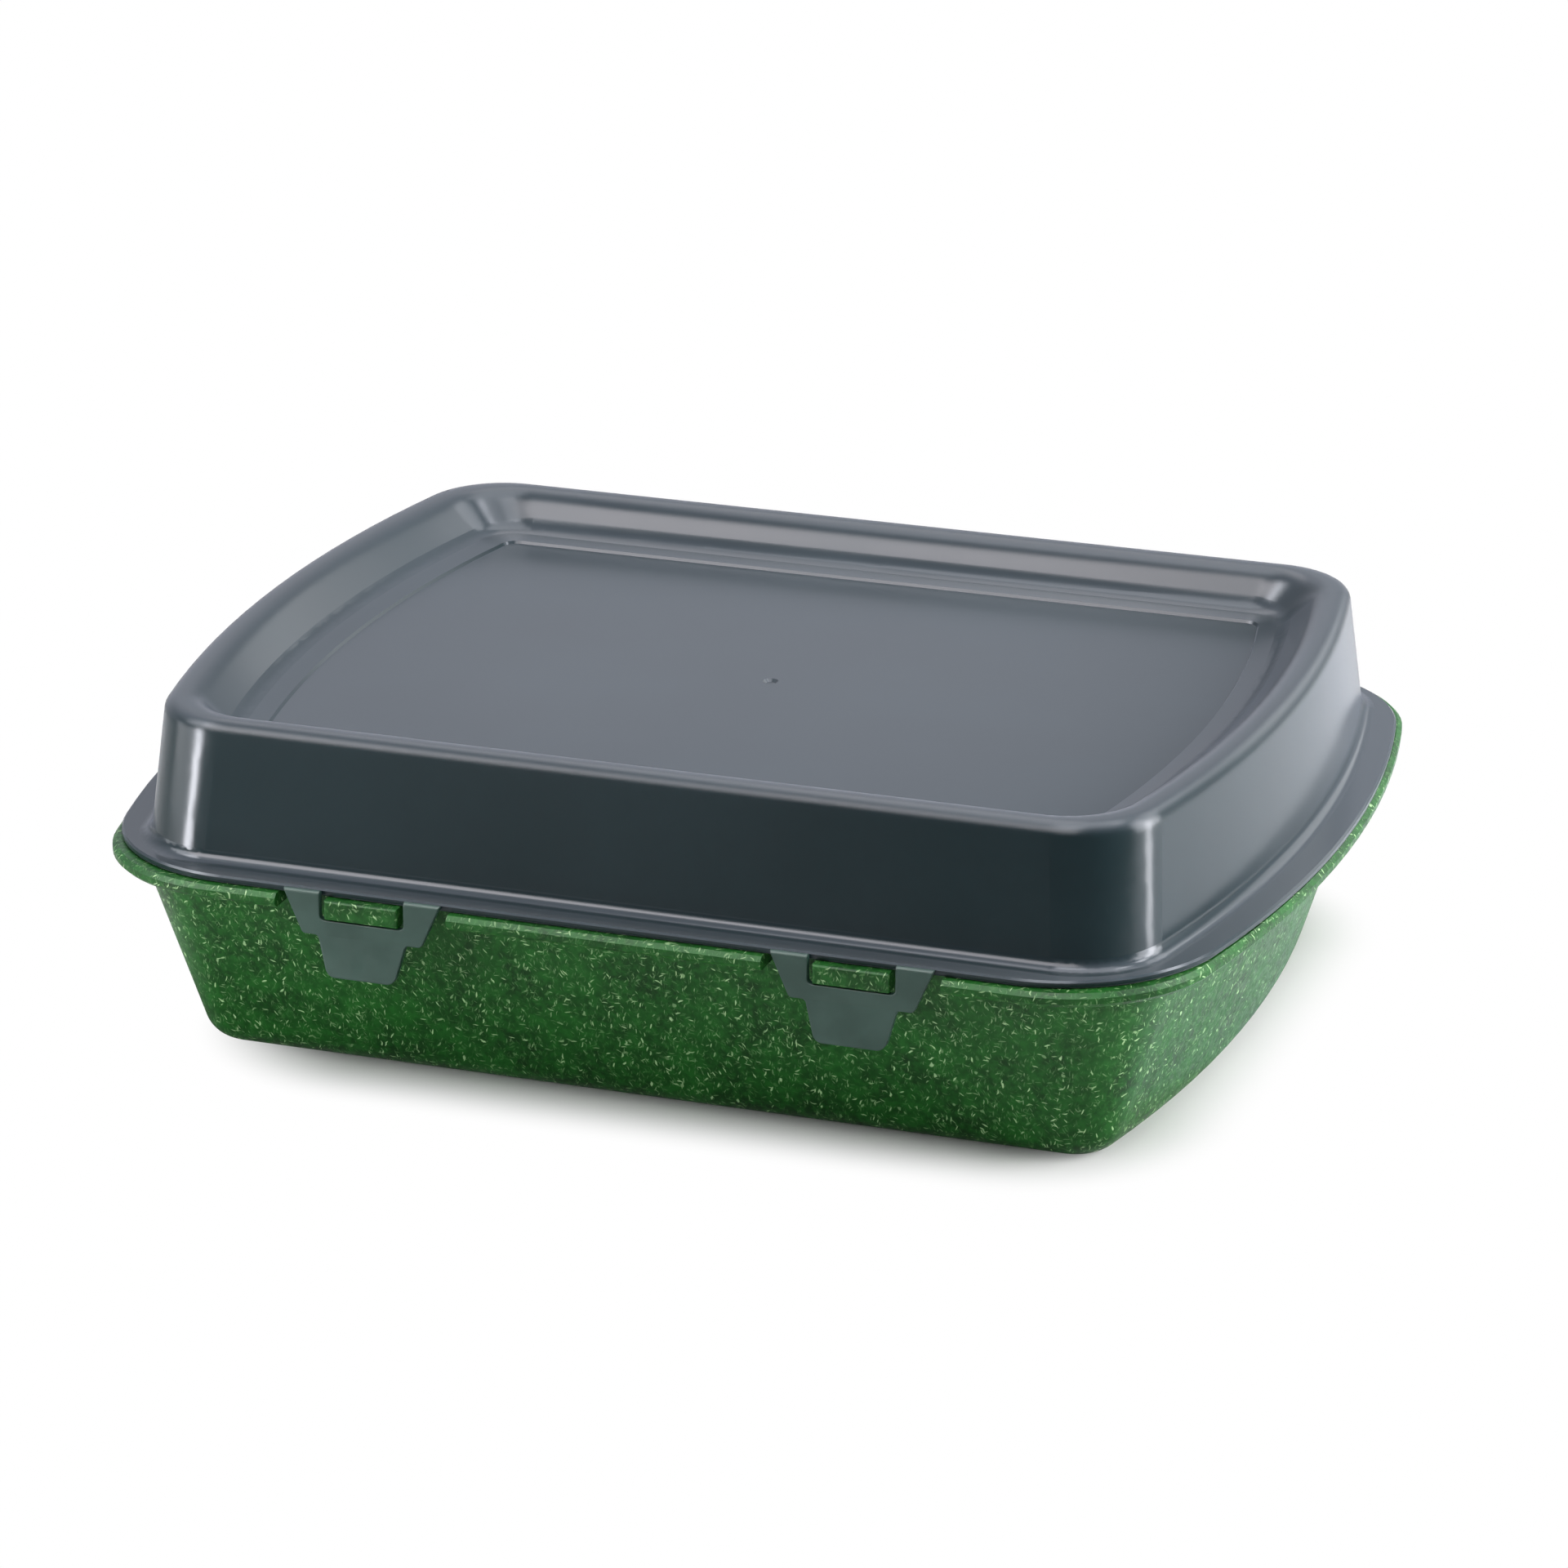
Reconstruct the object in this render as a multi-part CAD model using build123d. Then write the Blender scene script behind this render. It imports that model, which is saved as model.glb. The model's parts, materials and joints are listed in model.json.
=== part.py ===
from build123d import *
from math import cos, radians, sin, tan
import os

# Reusable take-away food container, in millimetres: a fibre-filled moulded tray with a flared rim,
# and a domed lid that four film-hinged clips hold to lugs in the rim.
# +X runs along the long side, -Y is the front, +Z is up, and the origin is under the tray's centre.

# Plan: each outline has straight long sides, bowed ends and round corners.
# The bowed ends of all outlines but the dome's turn through the same angle, so walls between two of
# them stay smooth.
end_turn_deg = 12.5

# Tray
rim_length = 253.4
rim_depth = 196.8
rim_corner = 32.0
rim_thickness = 3.0
rim_edge_chamfer = 0.9
rim_overhang = 7.0
tray_height = 44.0
tray_wall = 2.4
tray_floor = 2.4
wall_corner = 22.0
wall_draft_deg = 17.8
tray_foot_round = 7.0
foot_round_share = 0.8
foot_ring_width = 7.0
foot_recess_depth = 0.8

# Lid
flange_end_inset = 0.7
flange_side_inset = 2.4
flange_corner = 34.5
flange_thickness = 1.6
flange_edge_chamfer = 0.4
land_end_width = 8.2
land_side_width = 6.5
dome_corner = 19.0
dome_end_turn_deg = 12.85
dome_height = 28.6
dome_end_draft_deg = 6.4
dome_side_draft_deg = 10.4
dome_foot_round = 3.0
lid_wall = 1.5
crest_width = 5.8
mouth_corner = 15.2
crest_outer_round = 2.6
crest_inner_round = 4.2
recess_depth = 7.5
recess_end_run = 7.5
recess_side_run = 4.5
recess_foot_round = 6.0
ledge_end_width = 6.2
ledge_side_width = 5.9
ledge_drop = 1.2
panel_depth = 0.6
panel_corner = 3.5
panel_edge_run = 0.4
gate_width = 3.4
gate_floor_width = 2.0
gate_depth = 0.6
skirt_drop = 3.0
skirt_wall = 1.5
skirt_clearance = 0.5

# Clips and the lugs that they hook under
clip_offset = 52.5
clip_thickness = 1.5
clip_top_width = 34.3
clip_shoulder_width = 26.0
clip_shoulder_drop = 8.5
clip_tongue_width = 19.2
clip_tip_width = 14.6
clip_length = 17.0
clip_lean_deg = 2.0
clip_flare_deg = 8.0
clip_tip_round = 2.2
clip_shoulder_round = 1.0
hinge_gap = 0.15
lug_width = 16.0
lug_drop = 4.2
lug_edge_round = 0.6
lug_side_clearance = 1.25
lug_swing_clearance = 0.3
slot_end_clearance = 1.65
window_corner_round = 1.1

# Cuts run past the faces that they open, and heights that differ by less than this are the same
overrun = 1.0
same_place = 0.0001

# The lid's plan follows the rim's, and the bow of the dome's ends follows its depth
flange_length = rim_length - 2 * flange_end_inset
flange_depth = rim_depth - 2 * flange_side_inset
dome_length = flange_length - 2 * land_end_width
dome_depth = flange_depth - 2 * land_side_width
dome_end_radius = dome_corner + (dome_depth / 2 - dome_corner) / sin(radians(dome_end_turn_deg))

# Heights
rim_top = tray_height
rim_bottom = tray_height - rim_thickness
flange_bottom = rim_top
flange_top = flange_bottom + flange_thickness
crest_top = flange_top + dome_height
ledge_top = crest_top - recess_depth
ledge_foot = ledge_top - ledge_drop
panel_top = ledge_foot - panel_depth

# Hinge line of the front clips, which the rear ones repeat behind
hinge_y = -(flange_depth / 2 + hinge_gap + clip_thickness / 2)
hinge_z = flange_bottom + flange_thickness / 2
lug_swing_radius = hinge_z - rim_top + lug_drop


def outline(length, depth, corner, z):
    """Closed plan outline at height z, as eight tangent edges."""
    turn = radians(end_turn_deg)
    half_length = length / 2
    half_depth = depth / 2
    end_radius = corner + (half_depth - corner) / sin(turn)
    end_centre = half_length - end_radius
    corner_y = half_depth - corner
    corner_x = end_centre + (end_radius - corner) * cos(turn)
    mid_turn = (turn + radians(90)) / 2
    join_x = end_centre + end_radius * cos(turn)
    join_y = end_radius * sin(turn)
    mid_x = corner_x + corner * cos(mid_turn)
    mid_y = corner_y + corner * sin(mid_turn)
    edges = [
        Edge.make_three_point_arc((join_x, -join_y, z), (half_length, 0, z), (join_x, join_y, z)),
        Edge.make_three_point_arc((join_x, join_y, z), (mid_x, mid_y, z), (corner_x, half_depth, z)),
        Edge.make_line((corner_x, half_depth, z), (-corner_x, half_depth, z)),
        Edge.make_three_point_arc((-corner_x, half_depth, z), (-mid_x, mid_y, z), (-join_x, join_y, z)),
        Edge.make_three_point_arc((-join_x, join_y, z), (-half_length, 0, z), (-join_x, -join_y, z)),
        Edge.make_three_point_arc((-join_x, -join_y, z), (-mid_x, -mid_y, z), (-corner_x, -half_depth, z)),
        Edge.make_line((-corner_x, -half_depth, z), (corner_x, -half_depth, z)),
        Edge.make_three_point_arc((corner_x, -half_depth, z), (mid_x, -mid_y, z), (join_x, -join_y, z)),
    ]
    return Wire(edges)


def frustum(lower, upper):
    """Solid between two outlines."""
    return Solid.make_loft([lower, upper], ruled=True)


def plate(length, depth, corner, bottom, top):
    """Straight-sided slab with that outline."""
    return frustum(outline(length, depth, corner, bottom), outline(length, depth, corner, top))


def edges_at(shape, z):
    """Edges that lie wholly at height z."""
    return [e for e in shape.edges() if all(abs(v.Z - z) < same_place for v in e.vertices())]


def ring_face(shape, z):
    """The widest flat face at height z."""
    planes = shape.faces().filter_by(GeomType.PLANE)
    level = [f for f in planes if abs(f.center().Z - z) < same_place]
    return max(level, key=lambda f: f.bounding_box().size.X)


def tray_outline(z, inset):
    """The tray wall's outline at height z, inset by a wall thickness measured square to the wall."""
    draft = radians(wall_draft_deg)
    pull = (rim_bottom - z) * tan(draft) + inset / cos(draft)
    length = rim_length - 2 * (rim_overhang + pull)
    depth = rim_depth - 2 * (rim_overhang + pull)
    corner = wall_corner - pull
    return length, depth, corner, z


def grown(sides, amount, z):
    """An outline grown by an amount on every side, at height z."""
    length, depth, corner, _ = sides
    return length + 2 * amount, depth + 2 * amount, corner + amount, z


def bowed_block(length, depth, end_radius, corner, bottom, top, end_lean, side_lean):
    """Block with flat long sides, bowed ends and rolled corners, leaning in on the way up."""
    profile = Polyline(
        (-depth / 2, bottom),
        (depth / 2, bottom),
        (depth / 2 - side_lean, top),
        (-depth / 2 + side_lean, top),
        close=True,
    )
    block = extrude(make_face(Plane.YZ * profile), length, both=True)
    for side in (-1, 1):
        centre = Pos(side * (length / 2 - end_radius), 0, (bottom + top) / 2)
        block &= centre * Cone(end_radius, end_radius - end_lean, top - bottom)
    upright = [e for e in block.edges() if abs(e.start_point().Z - e.end_point().Z) > same_place]
    return fillet(upright, corner)


def dome_block(bottom, top, inset):
    """The lid's dome between two heights, inset by a wall thickness."""
    end_slope = tan(radians(dome_end_draft_deg))
    side_slope = tan(radians(dome_side_draft_deg))
    rise = bottom - flange_top
    return bowed_block(
        dome_length - 2 * (rise * end_slope + inset),
        dome_depth - 2 * (rise * side_slope + inset),
        dome_end_radius - rise * end_slope - inset,
        dome_corner - inset,
        bottom,
        top,
        (top - bottom) * end_slope,
        (top - bottom) * side_slope,
    )


def make_lug():
    """Lug in the front rim: its belly is round about the hinge line, so that the clip can swing off it."""
    root_y = -(rim_depth / 2 - rim_overhang - tray_wall / 2)
    tip_y = -rim_depth / 2
    reach = root_y - tip_y
    blank = Pos(0, (root_y + tip_y) / 2, rim_top - lug_drop / 2) * Box(lug_width, reach, lug_drop)
    tip = [e for e in blank.edges() if abs(e.center().Y - tip_y) < same_place]
    blank = fillet(tip, lug_edge_round)
    swing = Pos(0, hinge_y, hinge_z) * Rot(0, 90, 0) * Cylinder(lug_swing_radius, lug_width + overrun)
    return blank & swing


def make_tray():
    """Tray with tapered walls, a round foot, a flared rim, and slots and lugs for the four clips."""
    foot_corner = tray_outline(0, 0)[2]
    foot_round = min(tray_foot_round, foot_round_share * foot_corner)
    body = frustum(outline(*tray_outline(0, 0)), outline(*tray_outline(rim_top, 0)))
    body = body.fillet(foot_round, edges_at(body, 0))

    rim = plate(rim_length, rim_depth, rim_corner, rim_bottom, rim_top)
    rim = rim.chamfer(rim_edge_chamfer, None, edges_at(rim, rim_top) + edges_at(rim, rim_bottom))
    slot_span = clip_top_width + 2 * slot_end_clearance
    slot_reach = rim_overhang + overrun
    slot_y = rim_depth / 2 - rim_overhang + slot_reach / 2
    for side in (-1, 1):
        for x in (-clip_offset, clip_offset):
            slot = Pos(x, side * slot_y, rim_top - rim_thickness / 2)
            rim -= slot * Box(slot_span, slot_reach, rim_thickness + overrun)
    body += rim

    lug = make_lug()
    for turn in (0, 180):
        for x in (-clip_offset, clip_offset):
            body += Rot(0, 0, turn) * Pos(x, 0, 0) * lug

    cavity = frustum(
        outline(*tray_outline(tray_floor, tray_wall)),
        outline(*tray_outline(rim_top + overrun, tray_wall)),
    )
    cavity = cavity.fillet(max(foot_round - tray_wall, tray_wall), edges_at(cavity, tray_floor))
    body -= cavity

    foot_length, foot_depth, _, _ = tray_outline(0, foot_round + foot_ring_width)
    body -= plate(foot_length, foot_depth, foot_ring_width, -overrun, foot_recess_depth)
    return body


def make_lid():
    """Domed lid: flange, tapered dome, raised crest round a stacking recess, a gate dimple and a skirt."""
    dome = dome_block(flange_bottom, crest_top, 0)
    dome = dome.fillet(crest_outer_round, edges_at(dome, crest_top))

    flange = plate(flange_length, flange_depth, flange_corner, flange_bottom, flange_top)
    rims = edges_at(flange, flange_top) + edges_at(flange, flange_bottom)
    flange = flange.chamfer(flange_edge_chamfer, None, rims)
    shell = dome + flange
    shell = shell.fillet(dome_foot_round, ring_face(shell, flange_top).inner_wires()[0].edges())

    crest_lean = dome_height * tan(radians(dome_end_draft_deg))
    crest_side_lean = dome_height * tan(radians(dome_side_draft_deg))
    mouth_length = dome_length - 2 * (crest_lean + crest_width)
    mouth_depth = dome_depth - 2 * (crest_side_lean + crest_width)
    mouth = (mouth_length, mouth_depth, mouth_corner, crest_top)
    ledge_length = mouth_length - 2 * recess_end_run
    ledge_depth = mouth_depth - 2 * recess_side_run
    ledge = (ledge_length, ledge_depth, mouth_corner - recess_side_run, ledge_top)
    panel_length = ledge_length - 2 * ledge_end_width
    panel_breadth = ledge_depth - 2 * ledge_side_width
    panel = (panel_length, panel_breadth, panel_corner, panel_top)
    panel_edge = grown(panel, panel_edge_run, ledge_foot)
    recess = frustum(outline(*ledge), outline(*mouth)) + frustum(outline(*panel_edge), outline(*ledge))
    recess = recess.fillet(recess_foot_round, edges_at(recess, ledge_top))
    shell -= recess
    shell = shell.fillet(crest_inner_round, ring_face(shell, crest_top).inner_wires()[0].edges())
    shell -= frustum(outline(*panel), outline(*panel_edge))
    gate = Cone(gate_floor_width / 2, gate_width / 2, gate_depth)
    shell -= Pos(0, 0, panel_top - gate_depth / 2) * gate

    skirt_bottom = flange_bottom - skirt_drop
    skirt_inset = tray_wall + skirt_clearance
    shell += frustum(
        outline(*tray_outline(skirt_bottom, skirt_inset)),
        outline(*tray_outline(flange_bottom, skirt_inset)),
    )
    shell -= frustum(
        outline(*tray_outline(skirt_bottom - overrun, skirt_inset + skirt_wall)),
        outline(*tray_outline(flange_bottom, skirt_inset + skirt_wall)),
    )

    hollow = dome_block(flange_bottom, crest_top - lid_wall, lid_wall)
    hollow -= frustum(
        outline(*grown(ledge, lid_wall, ledge_top - lid_wall)),
        outline(*grown(mouth, lid_wall, crest_top)),
    )
    hollow -= frustum(
        outline(*grown(panel_edge, lid_wall, ledge_foot - lid_wall)),
        outline(*grown(ledge, lid_wall, ledge_top - lid_wall)),
    )
    hollow -= plate(*grown(panel, lid_wall, panel_top - lid_wall), ledge_foot)
    return shell - hollow


def make_clip():
    """One clip about its hinge line at the origin, hanging down in front: a bent strip with a window."""
    lean = radians(clip_lean_deg)
    flare = radians(clip_flare_deg)
    half = clip_thickness / 2
    bend_y = -clip_shoulder_drop * tan(lean)
    tip_y = bend_y - (clip_length - clip_shoulder_drop) * tan(flare)
    across_leg = half / cos(lean)
    across_tongue = half / cos(flare)
    across_bend = (across_leg + across_tongue) / 2
    side = Polyline(
        (across_leg, 0),
        (bend_y + across_bend, -clip_shoulder_drop),
        (tip_y + across_tongue, -clip_length),
        (tip_y - across_tongue, -clip_length),
        (bend_y - across_bend, -clip_shoulder_drop),
        (-across_leg, 0),
        close=True,
    )
    section = make_face(Plane.YZ * side)
    strip = extrude(section, clip_top_width / 2, both=True)
    bead = Rot(0, 90, 0) * Cylinder(half, clip_top_width)
    front = Polyline(
        (-clip_top_width / 2, half),
        (-clip_shoulder_width / 2, -clip_shoulder_drop),
        (-clip_tongue_width / 2, -clip_shoulder_drop),
        (-clip_tip_width / 2, -clip_length),
        (clip_tip_width / 2, -clip_length),
        (clip_tongue_width / 2, -clip_shoulder_drop),
        (clip_shoulder_width / 2, -clip_shoulder_drop),
        (clip_top_width / 2, half),
        close=True,
    )
    shape = make_face(Plane.XZ * front)
    low = [v for v in shape.vertices() if abs(v.Z + clip_length) < same_place]
    shape = fillet(low, clip_tip_round)
    steps = [v for v in shape.vertices() if abs(v.Z + clip_shoulder_drop) < same_place]
    shape = fillet(steps, clip_shoulder_round)
    reach = clip_length
    clip = (strip + bead) & extrude(shape, reach, both=True)

    window_width = lug_width + 2 * lug_side_clearance
    window_drop = lug_swing_radius + lug_swing_clearance
    window_top = half + overrun
    window_height = window_top + window_drop
    window = Pos(0, 0, window_top - window_height / 2) * Box(window_width, 2 * reach, window_height)
    low = [e for e in edges_at(window, -window_drop) if abs(e.center().X) > window_width / 4]
    window = fillet(low, window_corner_round)
    return clip - window


def main():
    os.makedirs("parts", exist_ok=True)
    clip = Pos(0, hinge_y, hinge_z) * make_clip()
    pieces = {
        "tray": make_tray(),
        "lid": make_lid(),
        "front_clip_left": Pos(-clip_offset, 0, 0) * clip,
        "front_clip_right": Pos(clip_offset, 0, 0) * clip,
        "rear_clip_left": Rot(0, 0, 180) * Pos(clip_offset, 0, 0) * clip,
        "rear_clip_right": Rot(0, 0, 180) * Pos(-clip_offset, 0, 0) * clip,
    }
    for name, piece in pieces.items():
        export_step(piece, f"parts/{name}.step")


main()
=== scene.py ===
import json
from math import radians

import bpy
from mathutils import Matrix, Vector

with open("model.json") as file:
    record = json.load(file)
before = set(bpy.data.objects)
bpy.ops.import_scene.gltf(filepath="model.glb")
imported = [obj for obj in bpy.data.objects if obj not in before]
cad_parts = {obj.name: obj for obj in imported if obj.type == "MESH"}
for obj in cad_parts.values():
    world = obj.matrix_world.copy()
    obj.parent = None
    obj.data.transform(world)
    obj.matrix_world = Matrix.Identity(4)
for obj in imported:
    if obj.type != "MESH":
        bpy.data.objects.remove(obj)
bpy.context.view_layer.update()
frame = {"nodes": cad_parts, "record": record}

# Camera, in metres and degrees: it stands in front and to the right, and looks down on the lid
CAMERA_PLACE = (0.4454, -1.2021, 0.5232)
CAMERA_AZIMUTH = 20.212
CAMERA_ELEVATION = 20.589
CAMERA_ROLL = -0.491
CAMERA_LENS = 147.78
SENSOR_WIDTH = 36.0

# Floor: it takes the shadow close to the tray's foot and is plain white further out
FLOOR_SIZE = 8.0
FLOOR_WHITE = 0.93
SHADOW_MIDDLE = (0.0065, -0.003, 0.0)
SHADOW_HALF_SIZE = (0.068, 0.050, 0.0)
SHADOW_FROM = 0.020
SHADOW_TO = 0.0465

# Sky: how bright it is on surfaces and in gloss, and the bands of direction over which that changes
SKY_ON_SURFACES = 0.10
SKY_MIRRORED_IN_FRONT = 0.34
SKY_MIRRORED_BEHIND = 0.72
SKY_FRONT_TO_BEHIND = (-0.95, -0.10)
SKY_GAIN_HIGH_UP = 2.8
SKY_LOW_TO_HIGH = (0.30, 0.80)
SKY_TINT_ON_SURFACES = (1, 1, 1, 1)
SKY_TINT_IN_GLOSS = (0.95, 0.97, 1.10, 1)

# Lamps that light the container: place, size across and up, and power in watts
SOFTBOXES = {
    "top_softbox": ((0.10, 0.05, 1.05), (0.90, 0.80), 7.8),
    "right_softbox": ((0.75, 0.16, 0.28), (0.50, 0.50), 6.9),
    "left_strip": ((-0.32, -0.28, 0.07), (0.05, 0.14), 0.56),
}

# Cards that only the glossy plastic mirrors, in the same terms
WARM_CARDS = {
    "front_card": ((-0.62, -0.78, 0.84), (0.55, 0.50), 7.8),
    "front_card_middle": ((-0.02, -0.80, 0.88), (0.65, 0.50), 6.1),
    "rear_high_card": ((-0.34, 0.55, 0.88), (0.50, 0.40), 1.2),
}
WHITE_CARDS = {
    "front_low_card": ((-1.00, -1.70, 0.15), (1.00, 0.50), 1.2),
    "left_card": ((-0.95, -0.42, 0.80), (0.50, 0.50), 4.2),
    "left_side_card": ((-0.51, -0.24, 0.05), (0.30, 0.16), 0.44),
    "rear_card": ((0.52, 1.25, 0.56), (0.70, 0.50), 1.9),
    "rear_right_card": ((0.50, 0.60, 0.75), (0.45, 0.35), 2.0),
    "top_front_card": ((0.08, -0.36, 0.87), (0.35, 0.25), 1.4),
    "right_glint": ((0.70, 0.18, 0.70), (0.18, 0.18), 1.4),
    "back_left_glint": ((0.40, 0.12, 0.82), (0.12, 0.12), 0.55),
    "back_right_glint": ((-0.50, -0.25, 0.66), (0.15, 0.15), 0.85),
    "right_strip": ((0.31, 0.00, 0.09), (0.04, 0.18), 0.26),
}
WHITE_LIGHT = (1.0, 1.0, 1.0)
WARM_LIGHT = (1.0, 0.94, 0.91)
COOL_LIGHT = (0.58, 0.70, 1.0)
LAMP_AIM = (0.0, 0.0, 0.05)

# A card that lies on the floor behind the right end and faces up, for the lid's end wall to mirror
FLOOR_CARD_PLACE = (0.307, 0.13, 0.003)
FLOOR_CARD_SIZE = (0.40, 0.40)
FLOOR_CARD_POWER = 0.14

# Fibres in the tray are thin flakes: a layer for each way that they lie, as turns about X, Y and Z
FIBRE_TURNS = (
    (0, 0, 0),
    (35, 20, 60),
    (-40, 65, 25),
    (70, -30, 110),
    (15, 80, -50),
    (-65, -15, 140),
    (50, 45, -20),
    (-20, -60, 85),
)
SHORT_FIBRE_TURNS = (
    (20, -35, 30),
    (-55, 40, -75),
    (80, 10, 15),
    (-10, 75, 120),
    (45, -70, -40),
    (-75, -50, 100),
)

# Flakes per metre, along their faces and through their thickness
FLAKE_PITCH = 270.0
FLAKE_STACK = 1450.0
SHORT_FLAKE_PITCH = 400.0
SHORT_FLAKE_STACK = 1900.0

# How far a flake reaches in its cell, how many cells stay empty, and how pale the fibres are
FLAKE_CORE = 0.13
FLAKE_EDGE = 0.25
FLAKE_RARITY = 0.30
FLAKE_RARITY_BAND = 0.35
FIBRE_TONE_POWER = 2.0
FAINTEST_FIBRE_SHARE = 0.22
SHORT_FIBRE_SHARE = 0.62

# Bends in the fibres: bends per metre, and how far they reach in metres
FIBRE_SWAY_PITCH = 420.0
FIBRE_SWAY = (0.0012, 0.0012, 0.0012)

# Colours, linear
TRAY_DEEP = (0.0025, 0.040, 0.004, 1)
TRAY_MID = (0.007, 0.094, 0.009, 1)
TRAY_BRIGHT = (0.020, 0.174, 0.022, 1)
TRAY_BRIGHT_SHARE = 0.45
FIBRE_STRAW = (0.07, 0.27, 0.06, 1)
FIBRE_PALE = (0.46, 0.70, 0.36, 1)
LID_DEEP = (0.003, 0.018, 0.020, 1)
LID_SMOKE = (0.005, 0.022, 0.025, 1)
LID_VEIL = (0.83, 0.86, 1.0, 1)
LID_GLOSS = (0.91, 0.92, 1.0, 1)
CLIP_DEEP = (0.027, 0.068, 0.054, 1)
CLIP_SMOKE = (0.042, 0.094, 0.076, 1)

# Grain that varies a colour or a shine: noise scale, detail and roughness, and the band of it in use
TRAY_BROAD_GRAIN = (95.0, 3.0, 0.55, 0.32, 0.68)
TRAY_FINE_GRAIN = (520.0, 2.0, 0.60, 0.35, 0.70)
TRAY_SHINE_GRAIN = (700.0, 3.0, 0.60, 0.30, 0.70)
LID_CLOUD_GRAIN = (22.0, 3.0, 0.50, 0.30, 0.70)
LID_SHINE_GRAIN = (40.0, 3.0, 0.50, 0.30, 0.70)
CLIP_CLOUD_GRAIN = (90.0, 3.0, 0.50, 0.30, 0.70)
CLIP_SHINE_GRAIN = (300.0, 3.0, 0.60, 0.30, 0.70)

# Roughness of each finish, at its glossiest and at its dullest
TRAY_ROUGHNESS = (0.30, 0.44)
LID_ROUGHNESS = (0.18, 0.21)
CLIP_ROUGHNESS = (0.34, 0.46)

# Texture of each surface: noise scale, detail and roughness, bump strength, and bump depth in metres
TRAY_TEXTURE = (900.0, 3.0, 0.60, 0.20, 0.00006)
LID_TEXTURE = (1400.0, 2.0, 0.50, 0.04, 0.00003)
CLIP_TEXTURE = (1600.0, 2.0, 0.50, 0.12, 0.00003)

# Gloss of the plastics, and the milky veil on the lid
PLASTIC_IOR = 1.46
TRAY_SPECULAR_LEVEL = 0.28
LID_VEIL_WEIGHT = 0.42
LID_VEIL_ROUGHNESS = 0.4

# Edges that the shading softens, in metres: all of a clip's, and the lid's from the crest's foot up
CLIP_EDGE_ROUND = 0.0005
CREST_EDGE_ROUND = 0.0025
CREST_ZONE_FOOT = 0.0675
CREST_ZONE_TOP = 0.0700
EDGE_SAMPLES = 6


def start_material(name):
    """A node material with its Principled shader, and Object coordinates to read."""
    material = bpy.data.materials.new(name)
    material.use_nodes = True
    tree = material.node_tree
    shader = tree.nodes["Principled BSDF"]
    place = tree.nodes.new("ShaderNodeTexCoord")
    return material, tree, shader, place.outputs["Object"]


def noise(tree, place, scale, detail, roughness):
    """Noise on those coordinates, as a value."""
    node = tree.nodes.new("ShaderNodeTexNoise")
    node.inputs["Scale"].default_value = scale
    node.inputs["Detail"].default_value = detail
    node.inputs["Roughness"].default_value = roughness
    tree.links.new(place, node.inputs["Vector"])
    return node.outputs["Fac"]


def spread(tree, value, low, high, to_low, to_high):
    """The value moved smoothly from one range to another."""
    node = tree.nodes.new("ShaderNodeMapRange")
    node.interpolation_type = "SMOOTHSTEP"
    node.inputs["From Min"].default_value = low
    node.inputs["From Max"].default_value = high
    node.inputs["To Min"].default_value = to_low
    node.inputs["To Max"].default_value = to_high
    tree.links.new(value, node.inputs["Value"])
    return node.outputs["Result"]


def grain(tree, place, kind, to_low=0, to_high=1):
    """A grain of that kind, as a value between two others."""
    scale, detail, roughness, low, high = kind
    return spread(tree, noise(tree, place, scale, detail, roughness), low, high, to_low, to_high)


def join(tree, operation, first, second):
    """Two values put together by a math operation; either may be a plain number."""
    node = tree.nodes.new("ShaderNodeMath")
    node.operation = operation
    for socket, value in zip(node.inputs, (first, second)):
        if isinstance(value, (int, float)):
            socket.default_value = value
        else:
            tree.links.new(value, socket)
    return node.outputs["Value"]


def blend_colours(tree, share, first, second):
    """A colour between two others; either may be a socket."""
    node = tree.nodes.new("ShaderNodeMix")
    node.data_type = "RGBA"
    tree.links.new(share, node.inputs["Factor"])
    for name, colour in (("A", first), ("B", second)):
        socket = [s for s in node.inputs if s.name == name and s.type == "RGBA"][0]
        if isinstance(colour, tuple):
            socket.default_value = colour
        else:
            tree.links.new(colour, socket)
    return [s for s in node.outputs if s.type == "RGBA"][0]


def set_shine(tree, shader, place, kind, roughness):
    """Roughness that varies with a grain, and the plastics' gloss."""
    glossiest, dullest = roughness
    tree.links.new(grain(tree, place, kind, glossiest, dullest), shader.inputs["Roughness"])
    shader.inputs["IOR"].default_value = PLASTIC_IOR


def add_texture(tree, shader, place, texture, facing=None):
    """Fine bumps on the shader, on top of a facing if one is given."""
    scale, detail, roughness, strength, depth = texture
    node = tree.nodes.new("ShaderNodeBump")
    if facing is not None:
        tree.links.new(facing, node.inputs["Normal"])
    node.inputs["Strength"].default_value = strength
    node.inputs["Distance"].default_value = depth
    tree.links.new(noise(tree, place, scale, detail, roughness), node.inputs["Height"])
    tree.links.new(node.outputs["Normal"], shader.inputs["Normal"])


def soft_edges(tree, radius):
    """The way that the surface faces, with its edges softened to that radius."""
    edges = tree.nodes.new("ShaderNodeBevel")
    edges.samples = EDGE_SAMPLES
    edges.inputs["Radius"].default_value = radius
    return edges.outputs["Normal"]


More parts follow.
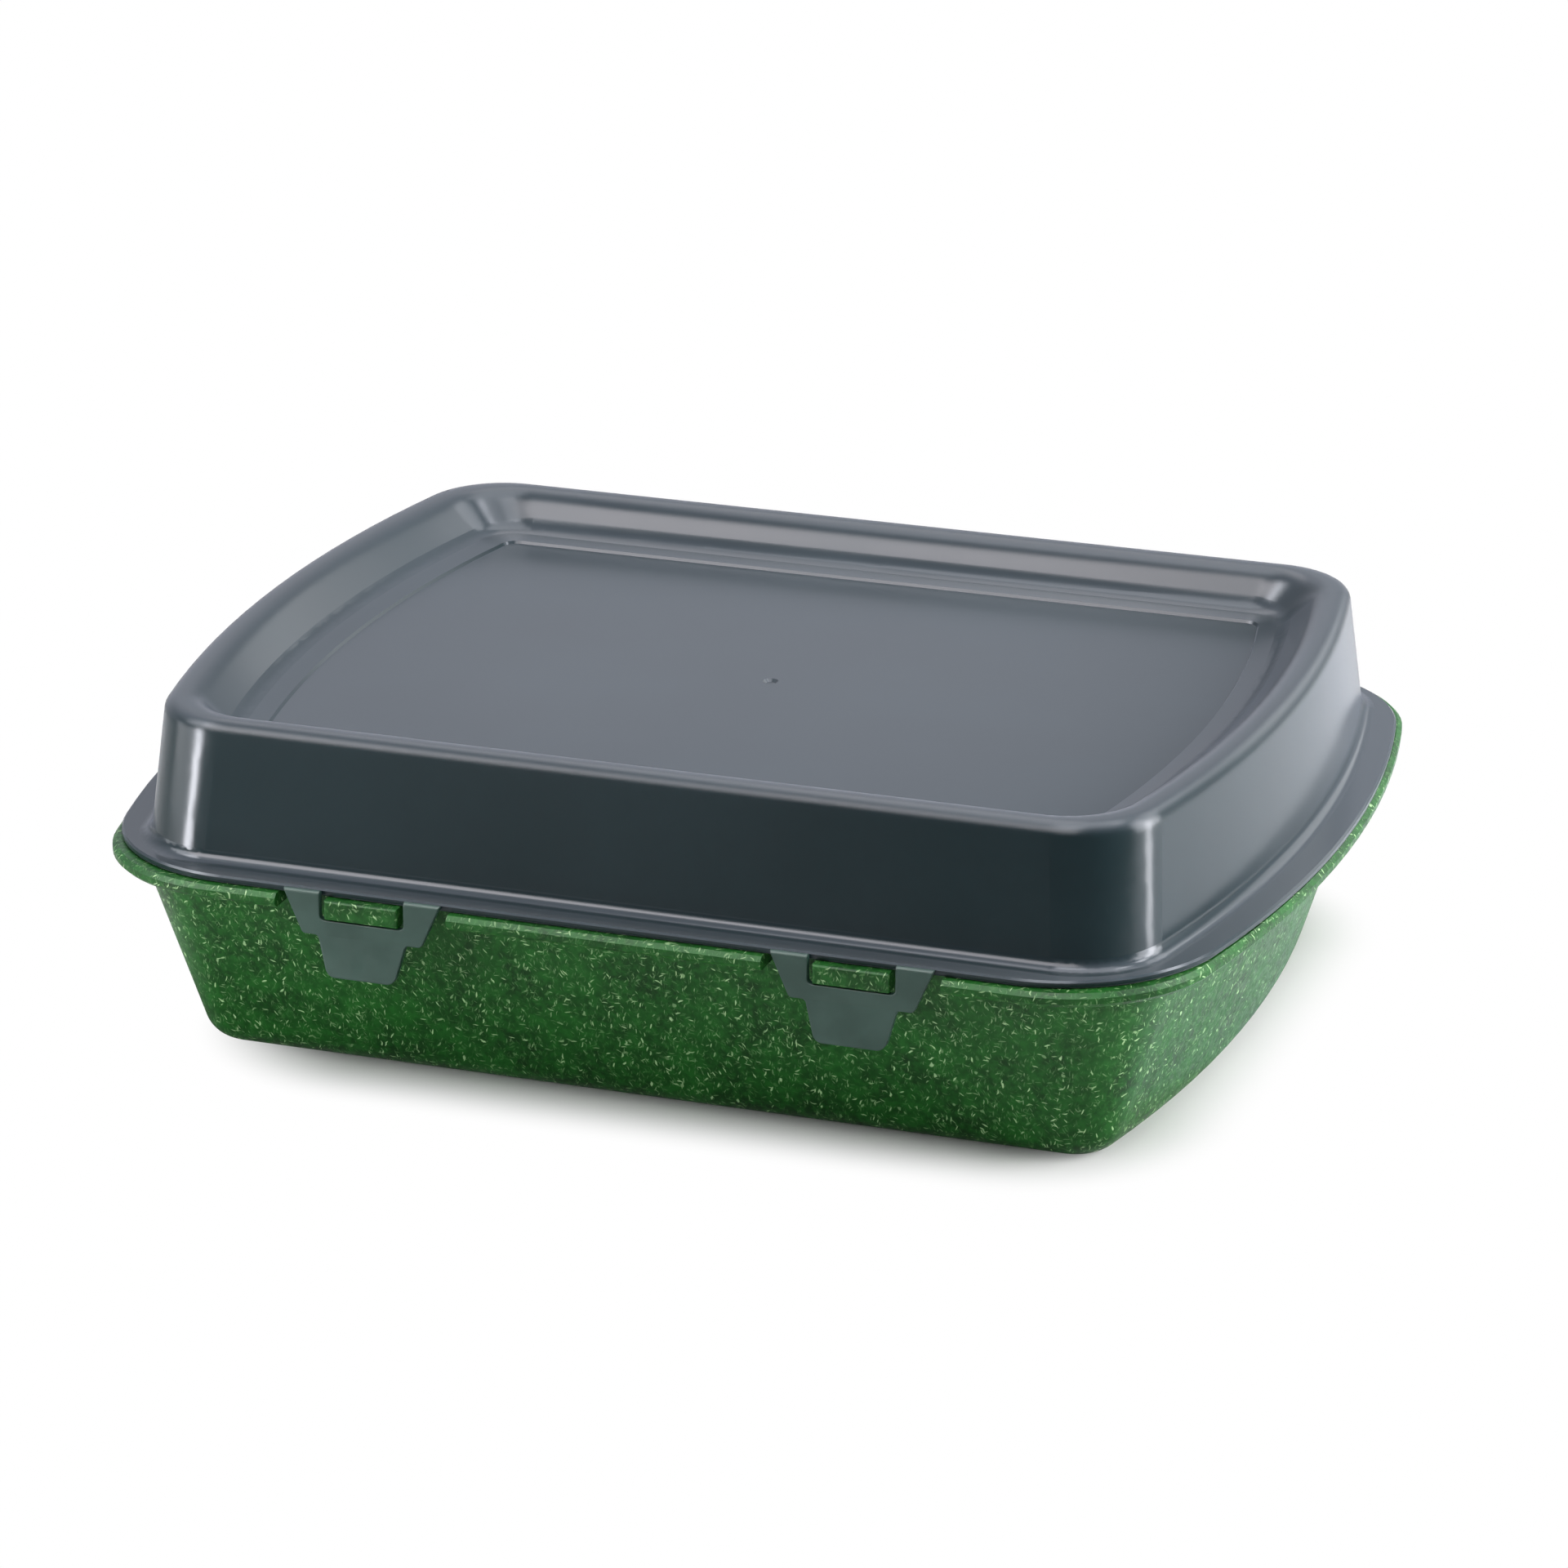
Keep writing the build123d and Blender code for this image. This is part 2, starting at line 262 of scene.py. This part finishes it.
def soft_crest(tree, place):
    """The way that the lid faces, with its edges softened on the crest and crisp below."""
    facing = tree.nodes.new("ShaderNodeNewGeometry")
    height = tree.nodes.new("ShaderNodeSeparateXYZ")
    tree.links.new(place, height.inputs["Vector"])
    mix = tree.nodes.new("ShaderNodeMix")
    mix.data_type = "VECTOR"
    on_crest = spread(tree, height.outputs["Z"], CREST_ZONE_FOOT, CREST_ZONE_TOP, 0, 1)
    vectors = [s for s in mix.inputs if s.type == "VECTOR" and s.name in ("A", "B")]
    tree.links.new(on_crest, mix.inputs["Factor"])
    tree.links.new(facing.outputs["Normal"], vectors[0])
    tree.links.new(soft_edges(tree, CREST_EDGE_ROUND), vectors[1])
    return [s for s in mix.outputs if s.type == "VECTOR"][0]


def bent_place(tree, place):
    """The coordinates swayed a little, so that fibres laid on them are bent."""
    sway = tree.nodes.new("ShaderNodeTexNoise")
    sway.inputs["Scale"].default_value = FIBRE_SWAY_PITCH
    tree.links.new(place, sway.inputs["Vector"])
    bend = tree.nodes.new("ShaderNodeVectorMath")
    bend.operation = "MULTIPLY_ADD"
    bend.inputs[1].default_value = FIBRE_SWAY
    tree.links.new(sway.outputs["Color"], bend.inputs[0])
    tree.links.new(place, bend.inputs[2])
    return bend.outputs["Vector"]


def fibre_layer(tree, place, turn, pitch, stack):
    """One layer of fibres that lie in one direction: how strongly a fibre shows at each point."""
    lie = tree.nodes.new("ShaderNodeMapping")
    lie.inputs["Rotation"].default_value = [radians(angle) for angle in turn]
    tree.links.new(place, lie.inputs["Vector"])
    stretch = tree.nodes.new("ShaderNodeMapping")
    stretch.inputs["Scale"].default_value = (pitch, pitch, stack)
    tree.links.new(lie.outputs["Vector"], stretch.inputs["Vector"])
    cells = tree.nodes.new("ShaderNodeTexVoronoi")
    cells.inputs["Scale"].default_value = 1.0
    tree.links.new(stretch.outputs["Vector"], cells.inputs["Vector"])
    chance = tree.nodes.new("ShaderNodeSeparateColor")
    tree.links.new(cells.outputs["Color"], chance.inputs["Color"])
    body = spread(tree, cells.outputs["Distance"], FLAKE_CORE, FLAKE_EDGE, 1, 0)
    kept = spread(tree, chance.outputs["Red"], FLAKE_RARITY, FLAKE_RARITY + FLAKE_RARITY_BAND, 0, 1)
    tone = join(tree, "POWER", chance.outputs["Green"], FIBRE_TONE_POWER)
    tone = spread(tree, tone, 0, 1, FAINTEST_FIBRE_SHARE, 1)
    return join(tree, "MULTIPLY", join(tree, "MULTIPLY", body, kept), tone)


def all_fibres(tree, place):
    """Long and short fibres of every layer: how strongly the strongest one shows at each point."""
    layers = [fibre_layer(tree, place, turn, FLAKE_PITCH, FLAKE_STACK) for turn in FIBRE_TURNS]
    for turn in SHORT_FIBRE_TURNS:
        layer = fibre_layer(tree, place, turn, SHORT_FLAKE_PITCH, SHORT_FLAKE_STACK)
        layers.append(join(tree, "MULTIPLY", layer, SHORT_FIBRE_SHARE))
    fibres = layers[0]
    for layer in layers[1:]:
        fibres = join(tree, "MAXIMUM", fibres, layer)
    return fibres


def tray_composite():
    """Green moulding compound full of short straw fibres, satin on top."""
    material, tree, shader, place = start_material("tray_composite_flecked")
    ground = blend_colours(tree, grain(tree, place, TRAY_BROAD_GRAIN), TRAY_DEEP, TRAY_MID)
    fine = join(tree, "MULTIPLY", grain(tree, place, TRAY_FINE_GRAIN), TRAY_BRIGHT_SHARE)
    ground = blend_colours(tree, fine, ground, TRAY_BRIGHT)
    fibres = all_fibres(tree, bent_place(tree, place))
    straw = blend_colours(tree, fibres, FIBRE_STRAW, FIBRE_PALE)
    tree.links.new(blend_colours(tree, fibres, ground, straw), shader.inputs["Base Color"])
    set_shine(tree, shader, place, TRAY_SHINE_GRAIN, TRAY_ROUGHNESS)
    shader.inputs["Specular IOR Level"].default_value = TRAY_SPECULAR_LEVEL
    add_texture(tree, shader, place, TRAY_TEXTURE)
    return material


def lid_plastic():
    """Smoky dark grey moulded plastic with a satin gloss and a milky veil."""
    material, tree, shader, place = start_material("lid_plastic_smoky")
    cloud = grain(tree, place, LID_CLOUD_GRAIN)
    tree.links.new(blend_colours(tree, cloud, LID_DEEP, LID_SMOKE), shader.inputs["Base Color"])
    set_shine(tree, shader, place, LID_SHINE_GRAIN, LID_ROUGHNESS)
    shader.inputs["Specular Tint"].default_value = LID_GLOSS
    shader.inputs["Sheen Weight"].default_value = LID_VEIL_WEIGHT
    shader.inputs["Sheen Roughness"].default_value = LID_VEIL_ROUGHNESS
    shader.inputs["Sheen Tint"].default_value = LID_VEIL
    add_texture(tree, shader, place, LID_TEXTURE, soft_crest(tree, place))
    return material


def clip_plastic():
    """The lid's plastic where it is thin, in the clips: paler and more matte."""
    material, tree, shader, place = start_material("clip_plastic_thin")
    cloud = grain(tree, place, CLIP_CLOUD_GRAIN)
    tree.links.new(blend_colours(tree, cloud, CLIP_DEEP, CLIP_SMOKE), shader.inputs["Base Color"])
    set_shine(tree, shader, place, CLIP_SHINE_GRAIN, CLIP_ROUGHNESS)
    add_texture(tree, shader, place, CLIP_TEXTURE, soft_edges(tree, CLIP_EDGE_ROUND))
    return material


def dress_nodes():
    """Gives each CAD node its finish."""
    finishes = {
        "tray_composite": tray_composite(),
        "lid_plastic": lid_plastic(),
        "clip_plastic": clip_plastic(),
    }
    for part in frame["record"]["subparts"]:
        node = frame["nodes"][part["node"]]
        for material_slot in node.material_slots:
            material_slot.material = finishes[part["material_slot"]]


def distance_from_shadow(tree):
    """How far each point of the floor lies outside the shadow's middle block, in metres."""
    place = tree.nodes.new("ShaderNodeTexCoord")
    outside = place.outputs["Object"]
    steps = (
        ("SUBTRACT", SHADOW_MIDDLE),
        ("ABSOLUTE", None),
        ("SUBTRACT", SHADOW_HALF_SIZE),
        ("MAXIMUM", (0, 0, 0)),
    )
    for operation, amount in steps:
        step = tree.nodes.new("ShaderNodeVectorMath")
        step.operation = operation
        tree.links.new(outside, step.inputs[0])
        if amount is not None:
            step.inputs[1].default_value = amount
        outside = step.outputs["Vector"]
    length = tree.nodes.new("ShaderNodeVectorMath")
    length.operation = "LENGTH"
    tree.links.new(outside, length.inputs[0])
    return length.outputs["Value"]


def floor_material():
    """White floor that takes the shadow near the foot and is plain white further out."""
    material = bpy.data.materials.new("floor_white")
    material.use_nodes = True
    tree = material.node_tree
    tree.nodes.clear()
    output = tree.nodes.new("ShaderNodeOutputMaterial")
    matte = tree.nodes.new("ShaderNodeBsdfDiffuse")
    matte.inputs["Color"].default_value = (FLOOR_WHITE, FLOOR_WHITE, FLOOR_WHITE, 1)
    white = tree.nodes.new("ShaderNodeEmission")
    white.inputs["Strength"].default_value = 1.0
    far = spread(tree, distance_from_shadow(tree), SHADOW_FROM, SHADOW_TO, 0, 1)
    path = tree.nodes.new("ShaderNodeLightPath")
    mix = tree.nodes.new("ShaderNodeMixShader")
    tree.links.new(join(tree, "MULTIPLY", far, path.outputs["Is Camera Ray"]), mix.inputs["Fac"])
    tree.links.new(matte.outputs["BSDF"], mix.inputs[1])
    tree.links.new(white.outputs["Emission"], mix.inputs[2])
    tree.links.new(mix.outputs["Shader"], output.inputs["Surface"])
    return material


def add_floor():
    """The floor that the container stands on."""
    bpy.ops.object.select_all(action="DESELECT")
    bpy.ops.mesh.primitive_plane_add(size=FLOOR_SIZE, location=(0, 0, 0))
    floor = bpy.context.object
    floor.name = "floor"
    floor.data.materials.append(floor_material())


def set_sky():
    """White to the eye, softer where it lights surfaces, and dimmer in front where gloss mirrors it."""
    world = bpy.data.worlds.new("studio_white")
    bpy.context.scene.world = world
    world.use_nodes = True
    tree = world.node_tree
    background = tree.nodes["Background"]
    toward = tree.nodes.new("ShaderNodeTexCoord")
    axes = tree.nodes.new("ShaderNodeSeparateXYZ")
    tree.links.new(toward.outputs["Generated"], axes.inputs["Vector"])
    front, behind = SKY_FRONT_TO_BEHIND
    mirrored = spread(tree, axes.outputs["Y"], front, behind, SKY_MIRRORED_IN_FRONT, SKY_MIRRORED_BEHIND)
    low, high = SKY_LOW_TO_HIGH
    gain = spread(tree, axes.outputs["Z"], low, high, 1, SKY_GAIN_HIGH_UP)
    mirrored = join(tree, "MULTIPLY", mirrored, gain)
    path = tree.nodes.new("ShaderNodeLightPath")
    tint = blend_colours(tree, path.outputs["Is Glossy Ray"], SKY_TINT_ON_SURFACES, SKY_TINT_IN_GLOSS)
    tree.links.new(tint, background.inputs["Color"])
    in_gloss = join(tree, "MULTIPLY", path.outputs["Is Glossy Ray"], mirrored)
    seen = join(tree, "MAXIMUM", path.outputs["Is Camera Ray"], path.outputs["Is Transmission Ray"])
    seen = join(tree, "MAXIMUM", seen, in_gloss)
    tree.links.new(join(tree, "MAXIMUM", seen, SKY_ON_SURFACES), background.inputs["Strength"])


def add_lamp(name, place, aim, size, power, colour, lights_surfaces):
    """A rectangular lamp that faces a point, or a card that only gloss mirrors."""
    lamp = bpy.data.lights.new(name, "AREA")
    lamp.shape = "RECTANGLE"
    lamp.size, lamp.size_y = size
    lamp.energy = power
    lamp.color = colour
    stand = bpy.data.objects.new(name, lamp)
    bpy.context.scene.collection.objects.link(stand)
    stand.location = place
    stand.rotation_euler = (Vector(aim) - Vector(place)).to_track_quat("-Z", "Y").to_euler()
    stand.visible_diffuse = lights_surfaces
    stand.visible_camera = False


def add_lamps():
    """All lamps and cards round the container."""
    groups = (
        (SOFTBOXES, WHITE_LIGHT, True),
        (WARM_CARDS, WARM_LIGHT, False),
        (WHITE_CARDS, WHITE_LIGHT, False),
    )
    for lamps, colour, lights_surfaces in groups:
        for name, (place, size, power) in lamps.items():
            add_lamp(name, place, LAMP_AIM, size, power, colour, lights_surfaces)
    overhead = Vector(FLOOR_CARD_PLACE) + Vector((0, 0, 1))
    add_lamp("floor_card", FLOOR_CARD_PLACE, overhead, FLOOR_CARD_SIZE, FLOOR_CARD_POWER, COOL_LIGHT, False)


def add_camera():
    """The photograph's point of view."""
    data = bpy.data.cameras.new("camera")
    data.lens = CAMERA_LENS
    data.sensor_width = SENSOR_WIDTH
    camera = bpy.data.objects.new("camera", data)
    bpy.context.scene.collection.objects.link(camera)
    turn = Matrix.Rotation(radians(CAMERA_AZIMUTH), 4, "Z")
    tilt = Matrix.Rotation(radians(90 - CAMERA_ELEVATION), 4, "X")
    roll = Matrix.Rotation(radians(CAMERA_ROLL), 4, "Z")
    camera.matrix_world = Matrix.Translation(CAMERA_PLACE) @ turn @ tilt @ roll
    bpy.context.scene.camera = camera


dress_nodes()
add_floor()
set_sky()
add_lamps()
add_camera()
bpy.context.scene.view_settings.view_transform = "Standard"
